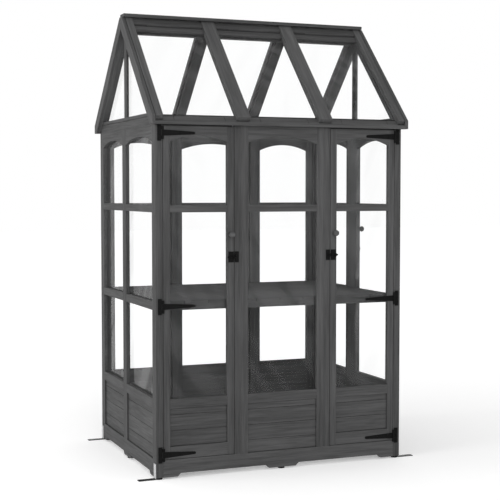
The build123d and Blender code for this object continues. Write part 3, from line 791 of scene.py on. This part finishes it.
@dataclass
class ScrewHead:
    """A pan head with a cross recess, made standing on its seat with the head towards Z."""

    radius: float = 0.0034
    height: float = 0.0018
    sides: int = 12
    sink: float = 0.0001
    rim_share: float = 0.45
    dome_inset: float = 0.28
    flat_inset: float = 0.16
    corner_band: float = 0.1
    cross_pinch: float = 0.4
    cross_slope: float = 0.04
    cross_depth: float = 0.5

    def add(self, mesh: bmesh.types.BMesh, place: Matrix) -> None:
        """Adds one head to a mesh.

        Args:
            mesh: The mesh that collects the heads.
            place: Where the seat goes, with Z outwards.
        """
        before = set(mesh.verts)
        turn = Matrix.Rotation(pi / self.sides, 4, "Z")
        made = bmesh.ops.create_circle(
            mesh, cap_ends=True, segments=self.sides, radius=self.radius, matrix=turn
        )
        seat = made["verts"][0].link_faces[0]
        raised = bmesh.ops.extrude_face_region(mesh, geom=[seat], use_keep_orig=True)
        top = next(item for item in raised["geom"] if isinstance(item, bmesh.types.BMFace))
        rim = self.height * self.rim_share
        bmesh.ops.translate(mesh, verts=top.verts, vec=(0.0, 0.0, rim))
        insets = ((self.dome_inset, self.height - rim), (self.flat_inset, 0.0))
        for share, rise in insets:
            bmesh.ops.inset_region(mesh, faces=[top], thickness=self.radius * share, depth=rise)
        for corner in top.verts:
            if abs(abs(corner.co.x) - abs(corner.co.y)) < self.radius * self.corner_band:
                corner.co.xy *= self.cross_pinch
        fall = -self.height * self.cross_depth
        bmesh.ops.inset_region(mesh, faces=[top], thickness=self.radius * self.cross_slope, depth=fall)
        fresh = [vert for vert in mesh.verts if vert not in before]
        faces = {face for vert in fresh for face in vert.link_faces}
        bmesh.ops.recalc_face_normals(mesh, faces=list(faces))
        bmesh.ops.transform(mesh, matrix=place @ Matrix.Translation((0.0, 0.0, -self.sink)), verts=fresh)

    def row(self, name: str, body: str, places: list[Matrix], material: Material, slot: str) -> None:
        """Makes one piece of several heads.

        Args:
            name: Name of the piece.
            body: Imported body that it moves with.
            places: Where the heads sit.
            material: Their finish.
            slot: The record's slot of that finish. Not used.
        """
        shape = bmesh.new()
        for place in places:
            self.add(shape, place)
        piece = new_piece(name, shape, material)
        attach(piece, body)
        LOG.info("%s has %d screws on %s", name, len(places), body)


@dataclass
class Carcass:
    """Posts, skirts, feet, base boards and shelf."""

    upright: tuple[str, ...] = ("corner_posts", "inner_posts", "side_mullions", "king_posts")
    crosswise: tuple[str, ...] = ("centre_boards", "rear_boards", "shelf_rails")
    lengthwise: tuple[str, ...] = ("left_boards", "right_boards", "gable_boards")
    skirting: tuple[str, ...] = ("skirt_boards", "foot_blocks", "door_stops")
    side_wall: str = "left_frame"
    upright_tone: float = 0.88
    # Makes the shelf boards' paint lighter than the other timber: painted light on the shelf.
    shelf_painted_light: float = 1.12
    shelf_timber: PaintedTimber = SHELF_TIMBER
    pane_nodes: tuple[str, ...] = ("centre_panes", "rear_panes", "left_panes", "right_panes", "gable_panes")

    def dress(self, finishes: Finishes) -> None:
        """Paints the timbers and glazes the fixed walls.

        Args:
            finishes: The finishes to use.
        """
        upright = GrainLay("upright", GrainAxis.UPRIGHT, depth_of_tone=self.upright_tone)
        finishes.paint(upright, *self.upright)
        finishes.paint(GrainLay("crosswise", GrainAxis.CROSSWISE), *self.crosswise)
        finishes.paint(GrainLay("lengthwise", GrainAxis.LENGTHWISE), *self.lengthwise)
        shelf = GrainLay("shelf", GrainAxis.LENGTHWISE, depth_of_tone=self.shelf_painted_light)
        finishes.paint(shelf, "shelf_boards", timber=self.shelf_timber)
        low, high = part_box(self.side_wall)
        sides = ((low.y, high.y),)
        finishes.paint(GrainLay("skirt", GrainAxis.CROSSWISE, GrainAxis.LENGTHWISE, sides), *self.skirting)
        finishes.put(finishes.clear, *self.pane_nodes)


@dataclass
class FixedWall:
    """Stiles, rails and arched heads of one fixed wall, with the stiles that stand between its openings."""

    name: str
    rails: GrainAxis
    stiles: tuple[Span, ...] = ()

    def dress(self, finishes: Finishes) -> None:
        """Paints the stiles up and the rails along the wall.

        Args:
            finishes: The finishes to use.
        """
        frame = f"{self.name}_frame"
        start, end = glazed_width(f"{self.name}_panes", self.rails)
        edges = (start, *(edge for stile in self.stiles for edge in stile), end)
        openings = tuple(zip(edges[::2], edges[1::2]))
        finishes.paint(GrainLay(frame, GrainAxis.UPRIGHT, self.rails, openings, glazed=True), frame)


@dataclass
class Roof:
    """Rafters, barge boards, battens, ridge and roof sheets."""

    sloping: tuple[str, ...] = ("end_rafters", "barge_boards")
    battens: tuple[str, ...] = ("roof_battens", "end_battens")
    rafters: tuple[str, ...] = ("inner_rafters",)
    along: tuple[str, ...] = ("eave_rails", "ridge_beam", "ridge_boards", "pane_strips", "ridge_cap")
    # These tones paint the battens lighter and the inner rafters and the timbers along the roof darker:
    # painted light and shade.
    batten_painted_light: float = 1.15
    inner_painted_shade: float = 0.85
    along_painted_shade: float = 0.92

    def dress(self, finishes: Finishes) -> None:
        """Paints the timbers and glazes the slopes.

        Args:
            finishes: The finishes to use.
        """
        rows = (
            ("sloping", 1.0, self.sloping),
            ("battens", self.batten_painted_light, self.battens),
            ("rafters", self.inner_painted_shade, self.rafters),
        )
        for name, tone, nodes in rows:
            finishes.paint(GrainLay(name, GrainAxis.SLOPING, depth_of_tone=tone, glazed=True), *nodes)
        along = GrainLay("roof_along", GrainAxis.CROSSWISE, depth_of_tone=self.along_painted_shade)
        finishes.paint(along, *self.along)
        finishes.put(finishes.clear, "roof_panes")


@dataclass
class DoorLeaf:
    """One door with its hinges, knob and bolt, and the screws that hold them."""

    name: str
    side: Side
    hinge: Vector
    hinge_heights: tuple[float, ...] = (0.108, 0.759, 1.514)
    strap_screws: tuple[float, ...] = (0.030, 0.078, 0.128)
    plate_reach: float = 0.0155
    plate_screws: tuple[float, ...] = (-0.025, 0.0, 0.025)
    hinge_metal: float = 0.003
    latch_metal: float = 0.002
    case_screws: tuple[float, ...] = (-0.0225, -0.0065)
    keeper_screw: float = 0.0175
    latch_screw_rise: float = 0.0185
    head: ScrewHead = field(default_factory=ScrewHead)
    small_head: ScrewHead = field(default_factory=lambda: ScrewHead(radius=0.0026, height=0.0014))

    @cached_property
    def hinge_line(self) -> float:
        """Place of the hinges' axis along the wall."""
        return self.hinge[self.side.rails.wall]

    @cached_property
    def latch_edge(self) -> float:
        """Place along the wall of the edge that is away from the hinges."""
        edges = [corner[self.side.rails.wall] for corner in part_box(f"{self.name}_frame")]
        return max(edges, key=lambda edge: abs(edge - self.hinge_line))

    @cached_property
    def latch_height(self) -> float:
        """Height of the middle of the bolt."""
        return sum(corner.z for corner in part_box(f"{self.name}_bolt_case")) / 2

    @cached_property
    def face(self) -> float:
        """Distance of the outer face from the middle of the greenhouse."""
        return self.side.face(f"{self.name}_frame")

    @property
    def way(self) -> float:
        """Direction along the wall from the hinges to the latch."""
        return 1.0 if self.latch_edge > self.hinge_line else -1.0

    def place(self, along: float, height: float, proud: float) -> Matrix:
        """Seat of a screw on a plate that stands proud of the wall."""
        return Matrix.Translation(self.side.point(along, height, self.face + proud)) @ self.side.turn

    def dress(self, finishes: Finishes) -> None:
        """Paints the timber, glazes the door and blackens the hardware.

        Args:
            finishes: The finishes to use.
        """
        frame = f"{self.name}_frame"
        rails = self.side.rails
        opening = glazed_width(f"{self.name}_pane", rails)
        finishes.paint(GrainLay(frame, GrainAxis.UPRIGHT, rails, (opening,), glazed=True), frame)
        along = GrainLay(f"{self.name}_along", rails)
        finishes.paint(along, f"{self.name}_boards", f"{self.name}_knob")
        finishes.put(finishes.clear, f"{self.name}_pane")
        hardware = [f"{self.name}_{part}" for part in ("straps", "bolt_case", "bolt")]
        finishes.put(finishes.black, *hardware)

    def build_screws(self, finishes: Finishes) -> None:
        """Adds the screw heads of the hinges, the bolt case and its keeper.

        Args:
            finishes: The finishes to use.
        """
        straps = [
            self.place(self.hinge_line + self.way * reach, height, self.hinge_metal)
            for height in self.hinge_heights
            for reach in self.strap_screws
        ]
        plates = [
            self.place(self.hinge_line - self.way * self.plate_reach, height + rise, self.hinge_metal)
            for height in self.hinge_heights
            for rise in self.plate_screws
        ]
        rises = (self.latch_height - self.latch_screw_rise, self.latch_height + self.latch_screw_rise)
        case = [
            self.place(self.latch_edge + self.way * reach, rise, self.latch_metal)
            for reach in self.case_screws
            for rise in rises
        ]
        keeper_line = self.latch_edge + self.way * self.keeper_screw
        keeper = [self.place(keeper_line, rise, self.latch_metal) for rise in rises]
        rows = (
            (self.head, "strap_screws", self.name, straps),
            (self.head, "plate_screws", "frame", plates),
            (self.small_head, "case_screws", self.name, case),
            (self.small_head, "keeper_screws", "frame", keeper),
        )
        for head, part, body, places in rows:
            head.row(f"{self.name}_{part}", body, places, finishes.black, "black_steel")


@dataclass
class HeadTrim:
    """Thin strips on the door stops, which close the view over the door heads."""

    height: float = 0.006
    depth: float = 0.009
    sink: float = 0.0002
    inset: float = 0.0005
    end_gap: float = 0.001
    arris: float = 0.0008
    arris_steps: int = 2
    arris_round: float = 0.5

    def build(self, finishes: Finishes) -> None:
        """Lays a strip over each door.

        Args:
            finishes: The finishes to use.
        """
        low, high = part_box("door_stops")
        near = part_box("inner_posts")[1].x + self.end_gap
        far = -low.x - self.end_gap
        reach = high.y - self.end_gap
        front_face = low.y + self.inset
        side_face = high.x - self.inset
        spans = (
            ((-far, -near), (front_face, front_face + self.depth)),
            ((near, far), (front_face, front_face + self.depth)),
            ((side_face - self.depth, side_face), (-reach, reach)),
        )
        centre = high.z - self.sink + self.height / 2
        shape = bmesh.new()
        for (left, right), (front, rear) in spans:
            middle = Vector(((left + right) / 2, (front + rear) / 2, centre))
            size = Matrix.Diagonal((right - left, rear - front, self.height, 1.0))
            bmesh.ops.create_cube(shape, size=1.0, matrix=Matrix.Translation(middle) @ size)
        bmesh.ops.bevel(
            shape,
            geom=shape.edges[:],
            offset=self.arris,
            affect="EDGES",
            segments=self.arris_steps,
            profile=self.arris_round,
            material=-1,
        )
        lay = GrainLay("head_trim", GrainAxis.CROSSWISE)
        piece = new_piece("head_trim", shape, finishes.timber.material(finishes.effects, lay))
        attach(piece, "frame")
        LOG.info("head_trim has %d strips on frame", len(spans))


@dataclass
class GroundFixing:
    """Glides under the feet and the brackets that hold the posts to the ground."""

    bracket_metal: float = 0.003
    bracket_half: float = 0.013
    screw_heights: tuple[float, ...] = (0.030, 0.056)
    head: ScrewHead = field(default_factory=lambda: ScrewHead(radius=0.0042, height=0.0022))

    def dress(self, finishes: Finishes) -> None:
        """Gives the fittings, and the hardware on the posts, their finishes.

        Args:
            finishes: The finishes to use.
        """
        finishes.put(finishes.zinc, "ground_brackets")
        finishes.put(finishes.pin_steel, "hinge_pins")
        finishes.put(finishes.black, "hinge_plates", "bolt_keepers")
        finishes.put(finishes.plastic, "foot_glides")

    def build_screws(self, finishes: Finishes) -> None:
        """Adds the screws through the upright legs of the brackets.

        Args:
            finishes: The finishes to use.
        """
        face = Side.RIGHT.face("corner_posts") + self.bracket_metal
        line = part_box("ground_brackets")[1].y - self.bracket_half
        places = [
            Matrix.Translation(side.point(along, height, face)) @ side.turn
            for side in (Side.LEFT, Side.RIGHT)
            for along in (-line, line)
            for height in self.screw_heights
        ]
        self.head.row("bracket_screws", "frame", places, finishes.zinc, "galvanised")


@dataclass
class Lamp:
    """One soft lamp, aimed at a point. A hidden one lights without being seen or mirrored."""

    name: str
    place: Vector
    aim: Vector
    width: float
    watts: float
    height: float | None = None
    hidden: bool = False

    def build(self) -> None:
        """Hangs the lamp."""
        light = bpy.data.lights.new(self.name, "AREA")
        light.shape = "RECTANGLE"
        light.size = self.width
        light.size_y = self.height or self.width
        light.energy = self.watts
        hung = bpy.data.objects.new(self.name, light)
        hung.location = self.place
        hung.rotation_euler = (self.aim - self.place).to_track_quat("-Z", "Y").to_euler()
        if self.hidden:
            hung.visible_camera = hung.visible_glossy = hung.visible_transmission = False
        bpy.context.scene.collection.objects.link(hung)


@dataclass
class Studio:
    """Pale floor, soft lamps, white surroundings and the camera."""

    floor_half: float = 30.0
    floor_colour: Colour = (0.90, 0.90, 0.90, 1.0)
    floor_glow: Span = (0.27, 0.47)
    glow_reach: Span = (1.2, 5.0)
    sky: Colour = (0.64, 0.64, 0.64, 1.0)
    camera_place: tuple[float, float, float] = (-2.0925, -5.3318, 1.2661)
    camera_tilt: float = 87.08
    camera_heading: float = -21.665
    lens: float = 84.57
    sensor: float = 36.0
    lamps: tuple[Lamp, ...] = (
        Lamp("left_lamp", Vector((-5.2, -0.4, 2.3)), Vector((0.0, 0.0, 1.0)), 4.2, 150.0),
        Lamp("front_lamp", Vector((-1.0, -7.4, 2.3)), Vector((0.0, 0.0, 0.9)), 4.4, 248.0),
        Lamp("upper_fill", Vector((0.0, -0.38, 1.15)), Vector((0.0, 0.45, 1.02)), 1.0, 2.6, 0.66, True),
        Lamp("lower_fill", Vector((0.0, -0.38, 0.42)), Vector((0.0, 0.45, 0.42)), 1.0, 1.3, 0.5, True),
    )

    def build(self) -> None:
        """Sets up the floor, light and camera."""
        scene = bpy.context.scene
        scene.view_settings.view_transform = "Standard"
        self._floor()
        self._sky(scene)
        for lamp in self.lamps:
            lamp.build()
        camera = bpy.data.cameras.new("photo_camera")
        camera.lens = self.lens
        camera.sensor_width = self.sensor
        stand = bpy.data.objects.new("photo_camera", camera)
        stand.location = self.camera_place
        stand.rotation_euler = (radians(self.camera_tilt), 0.0, radians(self.camera_heading))
        scene.collection.objects.link(stand)
        scene.camera = stand

    @staticmethod
    def _seen(graph: Graph) -> NodeSocket:
        """Tells the rays that show the surroundings from those that light the scene.

        Args:
            graph: The graph that the nodes are added to.

        Returns:
            1 for the rays that show them, 0 for the others.
        """
        path = graph.node("ShaderNodeLightPath").outputs
        mirrored = graph.math("MAXIMUM", path["Is Glossy Ray"], path["Is Transmission Ray"])
        return graph.math("MAXIMUM", path["Is Camera Ray"], mirrored)

    def _floor(self) -> None:
        """Lays the pale floor, which keeps the shadow."""
        shape = bmesh.new()
        bmesh.ops.create_grid(shape, x_segments=1, y_segments=1, size=self.floor_half)
        material, graph, shader = new_material("pale_floor")
        shader.inputs["Base Color"].default_value = self.floor_colour
        shader.inputs["Roughness"].default_value = 1.0
        shader.inputs["Specular IOR Level"].default_value = 0.0
        shader.inputs["Emission Color"].default_value = WHITE
        away = graph.node("ShaderNodeVectorMath", {0: graph.object_place()}, operation="LENGTH")
        glow = graph.spread(away.outputs["Value"], *self.glow_reach, self.floor_glow)
        graph.feed(shader.inputs["Emission Strength"], graph.math("MULTIPLY", self._seen(graph), glow))
        floor = new_piece("floor", shape, material)

    def _sky(self, scene: bpy.types.Scene) -> None:
        """Lights softly from all round, and looks white.

        Args:
            scene: The scene to surround.
        """
        world = bpy.data.worlds.new("studio")
        world.use_nodes = True
        graph = Graph(world.node_tree)
        graph.tree.nodes.clear()
        soft = graph.node("ShaderNodeBackground", {"Color": self.sky}).outputs[0]
        white = graph.node("ShaderNodeBackground", {"Color": WHITE}).outputs[0]
        both = graph.node("ShaderNodeMixShader", {0: self._seen(graph), 1: soft, 2: white})
        graph.node("ShaderNodeOutputWorld", {"Surface": both.outputs[0]})
        scene.world = world


WALLS = (
    FixedWall("centre", GrainAxis.CROSSWISE),
    FixedWall("rear", GrainAxis.CROSSWISE, ((-0.2605, -0.1745), (0.1745, 0.2605))),
    FixedWall("left", GrainAxis.LENGTHWISE, ((0.002, 0.060),)),
    FixedWall("right", GrainAxis.LENGTHWISE),
)
DOORS = {"left_door": Side.FRONT, "right_door": Side.FRONT, "side_door": Side.RIGHT}


def main() -> None:
    """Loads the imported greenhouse, dresses it and sets up the studio."""
    logging.basicConfig(level=logging.INFO, format="%(message)s")
    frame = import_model()
    finishes = Finishes(frame["nodes"])
    Carcass().dress(finishes)
    for wall in WALLS:
        wall.dress(finishes)
    Roof().dress(finishes)
    turning = [joint for joint in frame["joints"] if joint["type"] == "hinge"]
    hinges = {joint["child"]: Vector(joint["pos_m"]) for joint in turning}
    for name, side in DOORS.items():
        door = DoorLeaf(name, side, hinges[name])
        door.dress(finishes)
        door.build_screws(finishes)
    HeadTrim().build(finishes)
    fixing = GroundFixing()
    fixing.dress(finishes)
    fixing.build_screws(finishes)
    Studio().build()
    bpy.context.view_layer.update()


if __name__ == "__main__":
    main()
